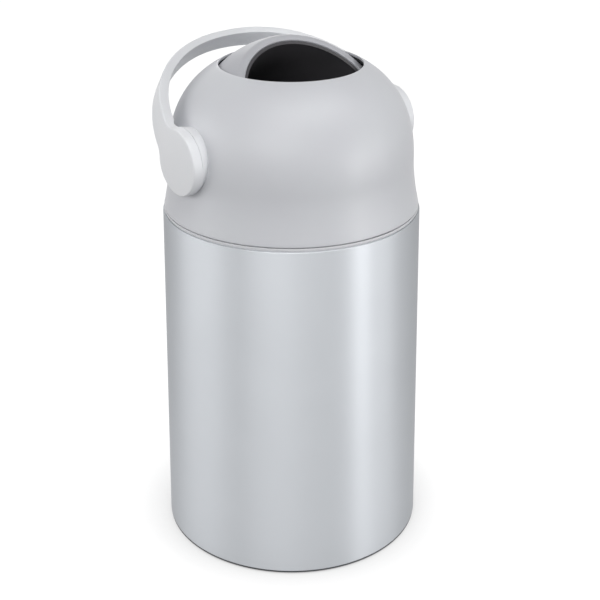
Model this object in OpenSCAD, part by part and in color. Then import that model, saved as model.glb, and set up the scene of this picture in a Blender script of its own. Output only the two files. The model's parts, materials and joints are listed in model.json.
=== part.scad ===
// Nappy bin: a steel pail under a domed lid, with a ball drum that the carrying handle turns
// over. A weighted piston slides in the drum and pushes the load out of its mouth.
// Millimetres, +Z up, origin at the centre of the footprint, the front faces -Y.

/* [Pail] */
// Outer radius of the pail at its top edge
rim_r = 134; // [132:0.5:145]
// How much wider in radius the pail is at its foot than at its top edge
foot_flare = 7; // [0:0.5:12]
// Height of the pail's top edge
rim_z = 370; // [320:1:420]
// Thickness of the pail's sheet
sheet_t = 0.8; // [0.5:0.1:1.2]
// Radius of the pail's rolled top edge
roll_r = 3; // [2:0.25:4]
// Width of the flat that the rolled edge ends in
roll_flat = 1.4; // [1:0.1:2]

/* [Base] */
// Thickness of the rubber foot ring
foot_t = 1.6; // [1:0.1:3]
// Width of the foot ring
foot_w = 15; // [10:0.5:20]
// Distance from the pail's edge to the foot ring
foot_inset = 3; // [2:0.5:6]
// Width of the rib that keys the foot ring into the base
key_w = 3; // [2:0.25:5]
// Height of the rib that keys the foot ring into the base
key_h = 2; // [1:0.25:3]
// Thickness of the base's edge under the pail
base_edge_t = 1; // [0.8:0.1:3]
// Distance that the base's edge lies inside the pail's
base_edge_inset = 0.4; // [0.2:0.1:1]
// Height of the hollow under the base
hollow_h = 4.4; // [3:0.2:8]
// Thickness of the base's floor and wall
base_t = 2.4; // [1.6:0.1:4]
// Height of the base's wall inside the pail
base_wall_h = 16; // [10:1:40]

/* [Collar and bag ring] */
// Height of the collar's band that shows between the pail and the lid
band_h = 3.2; // [2:0.1:6]
// Distance that the band lies inside the pail's rim
band_inset = 1.4; // [0.5:0.1:2.5]
// Height of the shadow line under the band
line_h = 0.5; // [0.2:0.1:1]
// Width of the collar's flange
flange_w = 11.6; // [11:0.1:14]
// Wall of the collar's skirt
skirt_t = 2.4; // [1.6:0.1:4]
// Depth of the collar's skirt below the pail's top edge
skirt_h = 30; // [27:0.5:40]
// Height of the rib that centres the collar in the rolled edge
rib_h = 6; // [4:0.5:10]
// Width of the ledge that the bag ring sits on
ledge_w = 4.5; // [3:0.25:6]
// Thickness of that ledge
ledge_t = 2.5; // [1.5:0.1:4]
// Height of the bag ring
ring_h = 22; // [16:0.5:23]
// Wall of the bag ring
ring_t = 2.2; // [1.6:0.1:3]
// Width of the bag ring's top flange
ring_flange_w = 7; // [4:0.5:9]

/* [Dome] */
// Distance that the dome's lower edge lies inside the pail's rim
dome_inset = 1.1; // [0.6:0.1:2.5]
// How much narrower in radius the dome is at its shoulder than at its lower edge
shoulder_in = 6.7; // [5:0.1:8]
// Height of the dome's wall, which flares out to its lower edge
dome_wall_h = 46.5; // [42:0.1:52]
// Curve of the wall: 1 is straight, more flares it nearer the lower edge
wall_p = 1.6; // [1:0.1:2]
// Height of the crown curve above the shoulder
crown_h = 114.4; // [108:0.1:125]
// Roundness of the crown curve: 2 is an ellipse, more is squarer
crown_p = 2.38; // [2.2:0.01:2.5]
// Radius of the loading opening
open_r = 72.9; // [68:0.1:78]
// Wall of the dome
dome_t = 2.6; // [2:0.1:3]
// Gap that shows between the collar's band and the dome
seam_gap = 0.6; // [0.4:0.1:1.2]

/* [Cradle] */
// Height of the cradle plate above the dome's lower edge
plate_up = 2.2; // [1.6:0.1:4]
// Thickness of the cradle plate
plate_t = 3.5; // [3:0.1:5]
// Width of the lid gasket
gasket_w = 3; // [2:0.25:3.25]
// Depth of the gasket's groove
groove_d = 1; // [0.5:0.1:1.5]
// How much wider in radius the drop chute is than the drum's mouth
chute_over = 3.8; // [3:0.1:5]
// Height of the drop chute's lower edge below the pail's rim
chute_drop = 20; // [10:1:30]
// Wall of the chute and the seal's shelf
chute_t = 2.5; // [2:0.1:3]
// How far outside the drum's mouth the lower seal meets the drum
lower_over = 8.8; // [8:0.1:10]
// Height of the lower seal
seal_h = 3; // [2:0.1:4]
// Width of the lower seal's body
seal_w = 4; // [3:0.1:5]
// How far outside the opening's edge the upper seal meets the drum
upper_over = 2.9; // [2.5:0.1:3.5]
// Width of the upper seal along the dome
upper_w = 9; // [7:0.5:12]
// Thickness of the upper seal's body
upper_t = 1.8; // [1.2:0.1:2.4]

/* [Drum] */
// Distance from the edge of the loading opening down to the pivot
pivot_drop = 78.1; // [75:0.1:82]
// Gap between the ball drum and the edge of the loading opening
drum_gap = 3.5; // [3.2:0.1:5]
// Wall of the drum
drum_t = 2.5; // [2:0.1:3]
// How much wider in radius the drum's mouth is than the loading opening
mouth_over = 7.8; // [7:0.1:9]
// Width of the flat lip round the mouth
lip_w = 6.8; // [6:0.1:8]
// Thickness of that lip
lip_t = 3; // [2:0.1:4]
// Tilt of the mouth from straight up, towards the front
mouth_tilt = 40; // [30:0.5:50]
// Depth of the flats that carry the trunnions
flat_in = 3.3; // [2.8:0.1:3.6]
// Thickness of the drum behind those flats
flat_t = 3; // [2.5:0.1:4]
// Height of the lap that joins the drum's halves
lap_h = 6; // [4:0.5:10]
// Wall of that lap
lap_t = 1.6; // [1.2:0.1:2.4]
// Wall of the chamber liner
liner_t = 2.2; // [1.6:0.1:3]
// Gap between the liner's closed end and the drum's wall
liner_back = 2.6; // [1:0.1:6]
// Width of the stop lip inside the liner's mouth
stop_w = 2; // [1.5:0.1:3]
// Height of the stop lip
stop_h = 3; // [2:0.1:5]

/* [Piston] */
// Height of the piston's skirt
piston_h = 26; // [20:0.5:34]
// Wall of the piston's skirt and crown
piston_t = 2.5; // [2:0.1:3.5]
// Height of the raised crown that passes the stop lip
crown_step = 3; // [2.5:0.1:4]
// Height of the piston's wiper ring
wiper_h = 4; // [3:0.1:5]
// Depth of the groove that holds the wiper ring
wiper_d = 1.4; // [1:0.1:1.6]
// Distance from the skirt's upper edge to the wiper ring
wiper_down = 4; // [3:0.1:8]
// Radius of the piston's weight
weight_r = 50; // [40:0.5:60]
// Thickness of the piston's weight
weight_t = 6; // [4:0.1:10]
// Radius of the piston's central post
post_r = 8; // [7:0.1:12]

/* [Pivots] */
// Radius of the trunnion shafts
shaft_r = 10; // [8:0.1:12]
// Radius of the trunnion flanges
flange_r = 22; // [18:0.1:24]
// Thickness of the trunnion flanges
flange_t = 3.5; // [2.5:0.1:4]
// Side of the square that keys a shaft into the handle
key_side = 14; // [10:0.1:14]
// Length of that square
key_len = 5.2; // [4:0.1:6]
// Wall of the pivot bushes
bush_t = 4; // [2:0.1:5]
// Radius of the bush flanges
bush_flange_r = 17; // [16:0.1:19]
// Thickness of the bush flanges
bush_flange_t = 2.9; // [2:0.1:4]
// Radius of the dome's inner boss round a bush
boss_r = 19; // [18:0.1:22]
// Least thickness of the outer boss rings, where the dome is widest
boss_min = 0.6; // [0.5:0.1:2]

/* [Handle] */
// Radius of the handle's hub discs
hub_r = 33.5; // [30:0.1:33.6]
// Thickness of the hub discs and of the band beside them
hub_t = 9.9; // [8:0.1:12]
// Thickness of the band at its top
band_t = 8.2; // [6:0.1:10]
// Width of the band at its top
band_w = 20; // [16:0.1:28]
// Width of the band beside the hub discs
band_foot_w = 34; // [28:0.5:40]
// Height of the arch above the ball drum when the handle is upright
arch_over = 38.8; // [34:0.1:50]
// Height of the straight start of the arch
arch_start = 8; // [6:0.5:20]
// Roundness of the arch: 2 is an ellipse, more is squarer
arch_p = 2.17; // [2:0.01:2.3]
// Radius of the blends between the band and the hub discs
blend_r = 14; // [8:0.5:20]
// Lean of the handle from upright, towards the back
handle_lean = 53.8; // [40:0.1:60]

/* [Hinge and latch] */
// Distance from the pail's rim to the hinge axis
hinge_out = 7; // [6.6:0.1:9]
// Height of the hinge axis above the pail's top edge
hinge_up = 2; // [1:0.1:3]
// Outer radius of the hinge knuckles
knuckle_r = 5; // [4.5:0.1:5.5]
// Radius of the hinge pin
pin_r = 2; // [1.5:0.1:2.5]
// Length of the lid's knuckle
lid_knuckle_w = 22.8; // [16:0.2:30]
// Length of each of the pail's knuckles
pail_knuckle_w = 10.3; // [8:0.1:14]
// Thickness of the hinge plates
hinge_t = 2.5; // [2:0.1:4]
// Height of the pail's hinge plate
pail_plate_h = 24; // [20:0.5:27]
// Height of the lid's hinge plate
lid_plate_h = 22; // [18:0.5:30]
// Thickness of the pad inside the dome behind the hinge plate
pad_t = 4; // [3:0.1:6]
// Width of the latch
latch_w = 24; // [16:0.5:30]
// Height of the latch's catch
catch_h = 4.4; // [3:0.1:4.5]
// Depth of the catch below the collar's top
catch_down = 0.8; // [0.5:0.1:2]
// Distance from the latch's tongue to its catch
latch_step = 0.6; // [0.5:0.1:1]
// Thickness of the latch's tongue
tongue_t = 2.3; // [1.8:0.1:3]
// Height of the latch's bead
bead_h = 1.2; // [0.8:0.1:1.4]

/* [Screws] */
// Thread radius of the small screws
screw_r = 1.5; // [1.2:0.1:1.8]
// Head radius of the small screws
head_r = 3.2; // [2.8:0.1:3.4]
// Head height of the small screws
head_h = 2; // [1.5:0.1:2.2]
// Length of the small screws under the head
screw_len = 13; // [10:0.5:14]
// Distance between the two screws of the pail's hinge plate
bracket_screw_pitch = 11; // [8:0.5:12]
// Depth of the spot faces under the screw heads of the hinge plates
spot_d = 0.5; // [0.4:0.1:0.8]
// Distance from the cradle's screw heads to the collar
head_margin = 1.3; // [1:0.1:2]
// Number of screws that hold the cradle
cradle_screw_count = 6; // [4:2:6]
// Radius of the dome's screw bosses
screw_boss_r = 4.5; // [4:0.1:5]
// Height of the dome's screw bosses
screw_boss_h = 16; // [15:0.5:20]
// Thread radius of the handle and piston screws
long_screw_r = 2; // [1.8:0.1:2.4]
// Head radius of the handle and piston screws
long_head_r = 4.2; // [3.8:0.1:5]

/* [Fits] */
// Gap between neighbours that don't move against each other
fit_gap = 0.1; // [0.05:0.01:0.15]
// Radial gap of a pin or shaft in its bore
run_gap = 0.05; // [0.03:0.01:0.08]
// Gap between pieces that move past each other
move_gap = 0.3; // [0.25:0.05:0.35]

/* [Hidden] */
$fn = 96;
eps = 0.5;                 // overshoot of cuts past a face
arc_steps = 6;             // straight steps in a small rounded corner and in the dome's wall
curve_steps = 28;          // straight steps in the crown and in half of the arch

// Pail, collar and bag ring
foot_r = rim_r + foot_flare;
base_z = foot_t + base_edge_t;
floor_z = foot_t + hollow_h;
band_top = rim_z + band_h;
skirt_z = rim_z - skirt_h;
ring_z = skirt_z + ledge_t;
roll_in = rim_r - roll_r - roll_flat;
band_r = rim_r - band_inset;
collar_in = band_r - flange_w;
ring_r = collar_in - move_gap;

// Dome and cradle
dome_r = rim_r - dome_inset;
shoulder_r = dome_r - shoulder_in;
dome_z = band_top + seam_gap;
shoulder_z = dome_z + dome_wall_h;
plate_z = dome_z + plate_up;
open_z = shoulder_z + crown_h * pow(1 - pow(open_r / shoulder_r, crown_p), 1 / crown_p);
pivot_z = open_z - pivot_drop;

// Drum and chamber
drum_r = sqrt(open_r * open_r + pivot_drop * pivot_drop) - drum_gap;
mouth_r = open_r + mouth_over;
mouth_d = sqrt(drum_r * drum_r - mouth_r * mouth_r);
flat_x = drum_r - flat_in;
liner_r = mouth_r - lip_w - fit_gap;
liner_d = sqrt(pow(drum_r - drum_t, 2) - liner_r * liner_r) - liner_back;
bore_r = liner_r - liner_t;
piston_r = bore_r - move_gap;
stop_r = bore_r - stop_w;
piston_z = liner_t - liner_d + move_gap;
skirt_top = piston_z + piston_h;
wiper_z = skirt_top - wiper_down - wiper_h;

// Seals and chute
chute_r = mouth_r + chute_over;
lower_seal_r = mouth_r + lower_over;
lower_a = asin(lower_seal_r / drum_r);
lower_seal_z = pivot_z - drum_r * cos(lower_a);
lip_r = drum_r + move_gap;
upper_a = asin((open_r + upper_over) / lip_r);
shelf_r = lower_seal_r + chute_t;
shelf_z = lower_seal_z - seal_h / 3;
seal_out = shelf_r + seal_w;

// Pivots and handle
boss_x = dome_out(pivot_z - hub_r) + boss_min;
flange_x = flat_x + flange_t;
bush_x = flange_x + eps;
inner_boss_x = bush_x + bush_flange_t + fit_gap;
bush_r = shaft_r + run_gap + bush_t;
hub_x = boss_x + move_gap;
arch_a = hub_x + hub_t;
arch_h = drum_r + arch_over;
key_end = boss_x + key_len;
long_screw_end = key_end + (arch_a - key_end) / 2;

// Hinge, latch and screws
hinge_y = rim_r + hinge_out;
hinge_z = rim_z + hinge_up;
pin_half = lid_knuckle_w / 2 + move_gap + pail_knuckle_w;
bracket_top = rim_z - rib_h;
bracket_mid = bracket_top - pail_plate_h / 2;
bracket_screw_z = [bracket_mid - bracket_screw_pitch / 2, bracket_mid + bracket_screw_pitch / 2];
leaf_z = plate_z + plate_t + fit_gap;
leaf_screw_z = leaf_z + lid_plate_h / 2;
leaf_screw_x = lid_knuckle_w / 2 - head_r - screw_r / 2;
leaf_seat_y = dome_out(leaf_screw_z) + hinge_t - 2 * spot_d;
cradle_screw_pcr = collar_in - head_r - head_margin;
gasket_r = collar_in + screw_r / 2;
catch_r = collar_in - ledge_w;
tongue_r = catch_r - latch_step;
catch_z = band_top - catch_h - catch_down;
tongue_z = ring_z + ring_h + eps;

// Outer radius of the pail and of the dome's wall at a height
function pail_out(z) = foot_r + (rim_r - foot_r) * z / rim_z;
function dome_out(z) = z < shoulder_z ?
    shoulder_r + shoulder_in * pow((shoulder_z - z) / dome_wall_h, wall_p) :
    shoulder_r * pow(1 - pow((z - shoulder_z) / crown_h, crown_p), 1 / crown_p);

// Points along an arc, an arch, one side of a crown and one side of the dome's wall
function arc(c, r, a0, a1) =
    [for (i = [0:arc_steps]) let (a = a0 + (a1 - a0) * i / arc_steps) c + r * [cos(a), sin(a)]];
function arch(a, b, p) =
    [for (i = [0:2 * curve_steps]) let (t = 90 * i / curve_steps, c = cos(t))
        [a * sign(c) * pow(abs(c), 2 / p), arch_start + b * pow(abs(sin(t)), 2 / p)]];
function crown(inset, end_r) =
    let (a = shoulder_r - inset, b = crown_h - inset,
         end_t = end_r > 0 ? acos(pow(end_r / a, crown_p / 2)) : 90)
    [for (i = [0:curve_steps]) let (t = end_t * i / curve_steps)
        [a * pow(abs(cos(t)), 2 / crown_p), shoulder_z + b * pow(abs(sin(t)), 2 / crown_p)]];
function wall(inset) =
    [for (i = [0:arc_steps - 1]) let (z = dome_z + dome_wall_h * i / arc_steps)
        [dome_out(z) - inset, z]];
function reverse(list) = [for (i = [len(list) - 1:-1:0]) list[i]];

module revolve(points) {
    rotate_extrude()
        polygon(points);
}

module ring(r_in, r_out, z, h) {
    translate([0, 0, z])
        difference() {
            cylinder(r = r_out, h = h);
            translate([0, 0, -eps])
                cylinder(r = r_in, h = h + 2 * eps);
        }
}

// A cylinder along X, from x0 to x1 at the pivot's height
module side_rod(r, x0, x1) {
    translate([x0, 0, pivot_z])
        rotate([0, 90, 0])
            cylinder(r = r, h = x1 - x0);
}

// A cylinder along +Y
module back_rod(r, x, z, y0, y1) {
    translate([x, y1, z])
        rotate([90, 0, 0])
            cylinder(r = r, h = y1 - y0);
}

// A cylinder along the hinge axis
module hinge_rod(r, x0, x1) {
    translate([x0, hinge_y, hinge_z])
        rotate([0, 90, 0])
            cylinder(r = r, h = x1 - x0);
}

// A box that keeps only what lies behind the axis, w wide
module back_box(w, z0, z1) {
    translate([-w / 2, 0, z0])
        cube([w, 2 * foot_r, z1 - z0]);
}

module left_side() {
    mirror([1, 0, 0])
        children();
}

// Frame of the drum: +Z runs out of the mouth
module in_drum() {
    translate([0, 0, pivot_z])
        rotate([mouth_tilt, 0, 0])
            children();
}

module screw(r, length, cap_r, cap_h) {
    cylinder(r = r, h = length);
    translate([0, 0, -cap_h])
        cylinder(r = cap_r, h = cap_h);
}

module each_cradle_screw() {
    for (i = [0:cradle_screw_count - 1])
        rotate([0, 0, i * 360 / cradle_screw_count])
            translate([cradle_screw_pcr, 0, 0])
                children();
}

// Solid bounded by the dome's outer face, moved inwards by inset
module dome_fill(inset) {
    revolve(concat([[0, dome_z]], wall(inset), crown(inset, 0)));
}

// ---- Pail ----

module foot_ring() {
    key_r = foot_r - foot_inset - foot_w / 2;
    color("#2b2c2e")
        union() {
            ring(foot_r - foot_inset - foot_w, foot_r - foot_inset, 0, foot_t);
            ring(key_r - key_w / 2, key_r + key_w / 2, foot_t - eps, key_h + eps);
        }
}

module base_cap() {
    key_r = foot_r - foot_inset - foot_w / 2;
    rest_r = foot_r - foot_inset - foot_w - base_t;
    top_z = base_z + base_wall_h;
    edge_r = foot_r - base_edge_inset;
    inner_r = pail_out(base_z) - sheet_t - fit_gap;
    wall_r = pail_out(top_z) - sheet_t - fit_gap;
    color("#4a4c4f")
        difference() {
            revolve([
                [0, floor_z], [rest_r, floor_z], [rest_r, foot_t], [edge_r, foot_t],
                [edge_r, base_z], [inner_r, base_z], [wall_r, top_z],
                [wall_r - base_t, top_z], [wall_r - base_t, floor_z + base_t], [0, floor_z + base_t]
            ]);
            ring(key_r - key_w / 2 - fit_gap, key_r + key_w / 2 + fit_gap,
                foot_t - eps, key_h + fit_gap + eps);
        }
}

module pail_shell() {
    roll_z = rim_z - roll_r;
    roll_c = [pail_out(roll_z) - roll_r, roll_z];
    color("#c3c5c9")
        difference() {
            revolve(concat(
                [[pail_out(base_z), base_z]],
                arc(roll_c, roll_r, 0, 90),
                [[roll_in, rim_z], [roll_in, rim_z - sheet_t]],
                arc(roll_c, roll_r - sheet_t, 90, 0),
                [[pail_out(base_z) - sheet_t, base_z]]
            ));
            for (z = bracket_screw_z)
                back_rod(screw_r + fit_gap, 0, z, collar_in, foot_r + eps);
        }
}

module rim_collar() {
    line_r = rim_r - roll_r + fit_gap * 2;
    rib_r = roll_in - fit_gap * 2;
    block_top = rim_z - rib_h;
    color("#b4b6ba")
        difference() {
            union() {
                revolve([
                    [collar_in, band_top], [collar_in, ring_z], [collar_in - ledge_w, ring_z],
                    [collar_in - ledge_w, skirt_z], [collar_in + skirt_t, skirt_z],
                    [collar_in + skirt_t, rim_z], [rib_r - skirt_t, rim_z],
                    [rib_r - skirt_t, rim_z - rib_h], [rib_r, rim_z - rib_h], [rib_r, rim_z],
                    [line_r, rim_z], [line_r, rim_z + line_h], [band_r, rim_z + line_h],
                    [band_r, band_top]
                ]);
                intersection() {
                    revolve([
                        [collar_in + skirt_t / 2, skirt_z],
                        [pail_out(skirt_z) - sheet_t - fit_gap, skirt_z],
                        [pail_out(block_top) - sheet_t - fit_gap, block_top],
                        [collar_in + skirt_t / 2, block_top]
                    ]);
                    back_box(lid_knuckle_w, skirt_z, block_top);
                }
            }
            for (z = bracket_screw_z)
                back_rod(screw_r + fit_gap / 2, 0, z, collar_in + skirt_t / 2, foot_r);
        }
}

module bag_ring() {
    top = ring_z + ring_h;
    color("#d3d4d8")
        revolve([
            [ring_r, ring_z], [ring_r, top], [ring_r - ring_flange_w, top],
            [ring_r - ring_flange_w, top - ring_t], [ring_r - ring_t, top - ring_t],
            [ring_r - ring_t, ring_z]
        ]);
}

module hinge_bracket() {
    top = bracket_top;
    bottom = top - pail_plate_h;
    arm_y = pail_out(top) + hinge_t / 4;
    color("#9b9da1")
        difference() {
            union() {
                intersection() {
                    revolve([
                        [pail_out(bottom) + fit_gap, bottom], [pail_out(bottom) + hinge_t, bottom],
                        [pail_out(top) + hinge_t, top], [pail_out(top) + fit_gap, top]
                    ]);
                    back_box(2 * pin_half, bottom, top);
                }
                for (side = [0, 1])
                    mirror([side, 0, 0]) {
                        translate([pin_half - pail_knuckle_w, arm_y, bottom + pail_plate_h / 3])
                            cube([pail_knuckle_w, hinge_y - arm_y + knuckle_r / 2,
                                hinge_z - bottom - pail_plate_h / 3]);
                        hinge_rod(knuckle_r, pin_half - pail_knuckle_w, pin_half);
                    }
            }
            hinge_rod(pin_r + run_gap, -pin_half - eps, pin_half + eps);
            for (z = bracket_screw_z) {
                back_rod(screw_r + fit_gap, 0, z, collar_in, foot_r + hinge_t);
                back_rod(head_r + fit_gap, 0, z, pail_out(z) + hinge_t - spot_d, hinge_y);
            }
        }
}

module hinge_pin() {
    color("#8d9094")
        hinge_rod(pin_r, -pin_half, pin_half);
}

module bracket_screws() {
    color("#8d9094")
        for (z = bracket_screw_z)
            translate([0, pail_out(z) + hinge_t - spot_d, z])
                rotate([90, 0, 0])
                    screw(screw_r, screw_len - hinge_t - head_h, head_r, head_h);
}

module latch_catch() {
    color("#9b9da1")
        intersection() {
            ring(catch_r, collar_in, catch_z, catch_h);
            mirror([0, 1, 0])
                back_box(latch_w, catch_z, catch_z + catch_h);
        }
}

// ---- Lid ----

module lid_dome() {
    color("#cfd0d4")
        difference() {
            union() {
                revolve(concat(
                    wall(0), crown(0, open_r), reverse(crown(dome_t, open_r)), reverse(wall(dome_t))
                ));
                intersection() {
                    dome_fill(dome_t / 2);
                    union() {
                        for (side = [0, 1])
                            mirror([side, 0, 0])
                                side_rod(boss_r, inner_boss_x, boss_x);
                        translate([0, 0, plate_z + plate_t])
                            each_cradle_screw() {
                                cylinder(r = screw_boss_r, h = screw_boss_h);
                                translate([0, -dome_t / 2, 0])
                                    cube([dome_r - cradle_screw_pcr, dome_t, screw_boss_h]);
                            }
                        intersection() {
                            difference() {
                                dome_fill(dome_t / 2);
                                dome_fill(dome_t + pad_t);
                            }
                            back_box(lid_knuckle_w, leaf_z, leaf_z + lid_plate_h);
                        }
                    }
                }
            }
            for (side = [0, 1])
                mirror([side, 0, 0])
                    side_rod(bush_r + fit_gap / 2, inner_boss_x - eps, boss_x + eps);
            translate([0, 0, plate_z])
                each_cradle_screw()
                    cylinder(r = screw_r + fit_gap / 2, h = screw_len);
            for (x = [-leaf_screw_x, leaf_screw_x])
                back_rod(screw_r + fit_gap / 2, x, leaf_screw_z, collar_in, foot_r);
        }
}

module lid_cradle() {
    plate_r = dome_out(plate_z + plate_t) - dome_t - fit_gap;
    plate_top = plate_z + plate_t;
    lip_out = seal_out + chute_t;
    chute_z = rim_z - chute_drop;
    bend_z = shelf_z - chute_t - 2 * (shelf_r - chute_r);
    slope_r = cradle_screw_pcr - head_r - plate_up;
    color("#a9abaf")
        difference() {
            revolve([
                [chute_r, chute_z], [chute_r + chute_t, chute_z], [chute_r + chute_t, bend_z - eps],
                [lip_out - eps, shelf_z - 2 * chute_t], [slope_r, plate_z], [plate_r, plate_z],
                [plate_r, plate_top], [slope_r + eps, plate_top], [lip_out, shelf_z - chute_t],
                [lip_out, shelf_z + seal_h], [seal_out + fit_gap, shelf_z + seal_h],
                [seal_out + fit_gap, shelf_z], [shelf_r, shelf_z], [shelf_r, shelf_z - chute_t],
                [chute_r, bend_z]
            ]);
            ring(gasket_r - fit_gap, gasket_r + gasket_w + fit_gap, plate_z - eps, groove_d + eps);
            translate([0, 0, plate_z - eps])
                each_cradle_screw()
                    cylinder(r = screw_r + fit_gap, h = plate_t + 2 * eps);
        }
}

module lid_gasket() {
    bottom = band_top + move_gap;
    color("#3a3b3d")
        ring(gasket_r, gasket_r + gasket_w, bottom, plate_z + groove_d - bottom);
}

module lower_seal() {
    tip = [lip_r * sin(lower_a), pivot_z - lip_r * cos(lower_a)];
    color("#3a3b3d")
        revolve([
            tip, [shelf_r - fit_gap, shelf_z], [seal_out, shelf_z], [seal_out, shelf_z + seal_h],
            [shelf_r + eps, shelf_z + seal_h]
        ]);
}

module upper_seal() {
    tip = [lip_r * sin(upper_a), pivot_z + lip_r * cos(upper_a)];
    back = crown(dome_t + fit_gap, tip[0] - 1);
    body = crown(dome_t + upper_t, tip[0] + 1.5);
    last = len(back) - 1;
    keep = [for (i = [0:last]) if (back[i][0] < tip[0] + upper_w) back[i]];
    under = [for (i = [0:last]) if (body[i][0] < tip[0] + upper_w) body[i]];
    color("#3a3b3d")
        revolve(concat(keep, [tip], reverse(under)));
}

module cradle_screws() {
    color("#8d9094")
        translate([0, 0, plate_z])
            each_cradle_screw()
                screw(screw_r, screw_len, head_r, head_h);
}

module hinge_leaf() {
    top = leaf_z + lid_plate_h;
    arm_z = dome_z + seam_gap;
    color("#9b9da1")
        difference() {
            union() {
                intersection() {
                    revolve([
                        [dome_out(leaf_z) + fit_gap, leaf_z], [dome_out(leaf_z) + hinge_t, leaf_z],
                        [dome_out(top) + hinge_t, top], [dome_out(top) + fit_gap, top]
                    ]);
                    back_box(lid_knuckle_w, leaf_z, top);
                }
                translate([-lid_knuckle_w / 2, dome_r + fit_gap * 2, arm_z])
                    cube([lid_knuckle_w, hinge_y - dome_r - fit_gap * 2, leaf_z + hinge_t - arm_z]);
                hinge_rod(knuckle_r, -lid_knuckle_w / 2, lid_knuckle_w / 2);
            }
            hinge_rod(pin_r + run_gap, -pin_half, pin_half);
            for (x = [-leaf_screw_x, leaf_screw_x]) {
                back_rod(screw_r + fit_gap, x, leaf_screw_z, collar_in, foot_r);
                back_rod(head_r + fit_gap, x, leaf_screw_z, leaf_seat_y, hinge_y);
            }
        }
}

module leaf_screws() {
    color("#8d9094")
        for (x = [-leaf_screw_x, leaf_screw_x])
            translate([x, leaf_seat_y, leaf_screw_z])
                rotate([90, 0, 0])
                    screw(screw_r, hinge_t + dome_t, head_r, head_h);
}

module latch_hook() {
    color("#a9abaf")
        intersection() {
            union() {
                ring(tongue_r - tongue_t, tongue_r, tongue_z, plate_z - tongue_z);
                ring(tongue_r - eps, catch_r - move_gap, tongue_z, bead_h);
            }
            mirror([0, 1, 0])
                back_box(latch_w, tongue_z, plate_z);
        }
}

module right_bush() {
    color("#e6e7e9")
        difference() {
            union() {
                side_rod(bush_r, bush_x, boss_x - fit_gap);
                side_rod(bush_flange_r, bush_x, bush_x + bush_flange_t);
            }
            side_rod(shaft_r + run_gap, bush_x - eps, boss_x + eps);
        }
}

module right_boss() {
    color("#e9eaec")
        difference() {
            side_rod(hub_r, inner_boss_x, boss_x);
            dome_fill(-fit_gap / 2);
            side_rod(bush_r + fit_gap, inner_boss_x - eps, boss_x + eps);
        }
}

// ---- Drum ----

module drum_hollow() {
    intersection() {
        sphere(r = drum_r - drum_t);
        cube([2 * (flat_x - flat_t), 2 * drum_r, 2 * drum_r], center = true);
    }
}

module drum_ball() {
    intersection() {
        sphere(r = drum_r);
        cube([2 * flat_x, 2 * drum_r, 2 * drum_r], center = true);
    }
}

module screw_bores() {
    rotate([0, 90, 0])
        cylinder(r = long_screw_r + fit_gap, h = 2 * drum_r, center = true);
}

module drum_mouth_half() {
    hollow_r = drum_r - drum_t;
    lap_r = sqrt(hollow_r * hollow_r - lap_h * lap_h) - fit_gap;
    lap_x = flat_x - flat_t - fit_gap;
    color("#c9cace")
        in_drum()
            difference() {
                union() {
                    intersection() {
                        drum_ball();
                        translate([-drum_r, -drum_r, 0])
                            cube([2 * drum_r, 2 * drum_r, mouth_d]);
                        difference() {
                            sphere(r = drum_r + eps);
                            intersection() {
                                drum_hollow();
                                translate([-drum_r, -drum_r, -eps])
                                    cube([2 * drum_r, 2 * drum_r, mouth_d - lip_t + eps]);
                            }
                        }
                    }
                    intersection() {
                        union() {
                            ring(lap_r - lap_t, lap_r, -lap_h, lap_h + eps);
                            ring(lap_r - lap_t, hollow_r + drum_t / 2, 0, lap_h / 2);
                        }
                        cube([2 * lap_x, 2 * drum_r, 2 * drum_r], center = true);
                    }
                }
                translate([0, 0, mouth_d / 2])
                    cylinder(r = liner_r + fit_gap, h = mouth_d);
                screw_bores();
            }
}

module drum_closed_half() {
    color("#c9cace")
        in_drum()
            difference() {
                intersection() {
                    drum_ball();
                    translate([-drum_r, -drum_r, -drum_r])
                        cube([2 * drum_r, 2 * drum_r, drum_r]);
                }
                drum_hollow();
                screw_bores();
            }
}

module chamber_liner() {
    color("#26272a")
        in_drum()
            revolve([
                [0, -liner_d], [liner_r, -liner_d], [liner_r, mouth_d - fit_gap],
                [stop_r, mouth_d - fit_gap], [stop_r, mouth_d - stop_h],
                [bore_r, mouth_d - stop_h], [bore_r, liner_t - liner_d], [0, liner_t - liner_d]
            ]);
}

module right_trunnion() {
    color("#8d9094")
        difference() {
            union() {
                side_rod(flange_r, flat_x, flange_x);
                side_rod(shaft_r, flat_x, boss_x);
                translate([boss_x - eps, 0, pivot_z])
                    rotate([-handle_lean, 0, 0])
                        translate([0, -key_side / 2, -key_side / 2])
                            cube([key_len + eps, key_side, key_side]);
            }
            side_rod(long_screw_r + fit_gap, flat_x - eps, key_end + eps);
        }
}

// Half-width of the handle's arm seen along X, as points from the top of the band down. The
// band's edge leans by the taper, and the blend touches both the edge and the hub disc.
function arm_side() =
    let (taper = atan2((band_foot_w - band_w) / 2, arch_h - hub_r),
         blend_x = band_foot_w / 2 * cos(taper) + hub_r * sin(taper) + blend_r,
         reach = hub_r + blend_r, blend_y = sqrt(reach * reach - blend_x * blend_x),
         blend_a = atan2(blend_y, blend_x) + taper)
    concat([[band_w / 2 - band_t * tan(taper), arch_h + band_t]],
        arc(reach * [cos(blend_a), sin(blend_a)], blend_r, 180 + taper, 180 + blend_a),
        [for (i = [1:curve_steps]) let (a = blend_a - (blend_a + 90) * i / curve_steps)
            hub_r * [cos(a), sin(a)]]);

// Half-width of the arch's inner face at a height above the pivot
function inner_arch_x(u) =
    hub_x * pow(1 - pow((u - arch_start) / (arch_h - band_t - arch_start), arch_p), 1 / arch_p);

module both_halves(points) {
    polygon(concat(points, [for (p = reverse(points)) [-p[0], p[1]]]));
}

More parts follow.
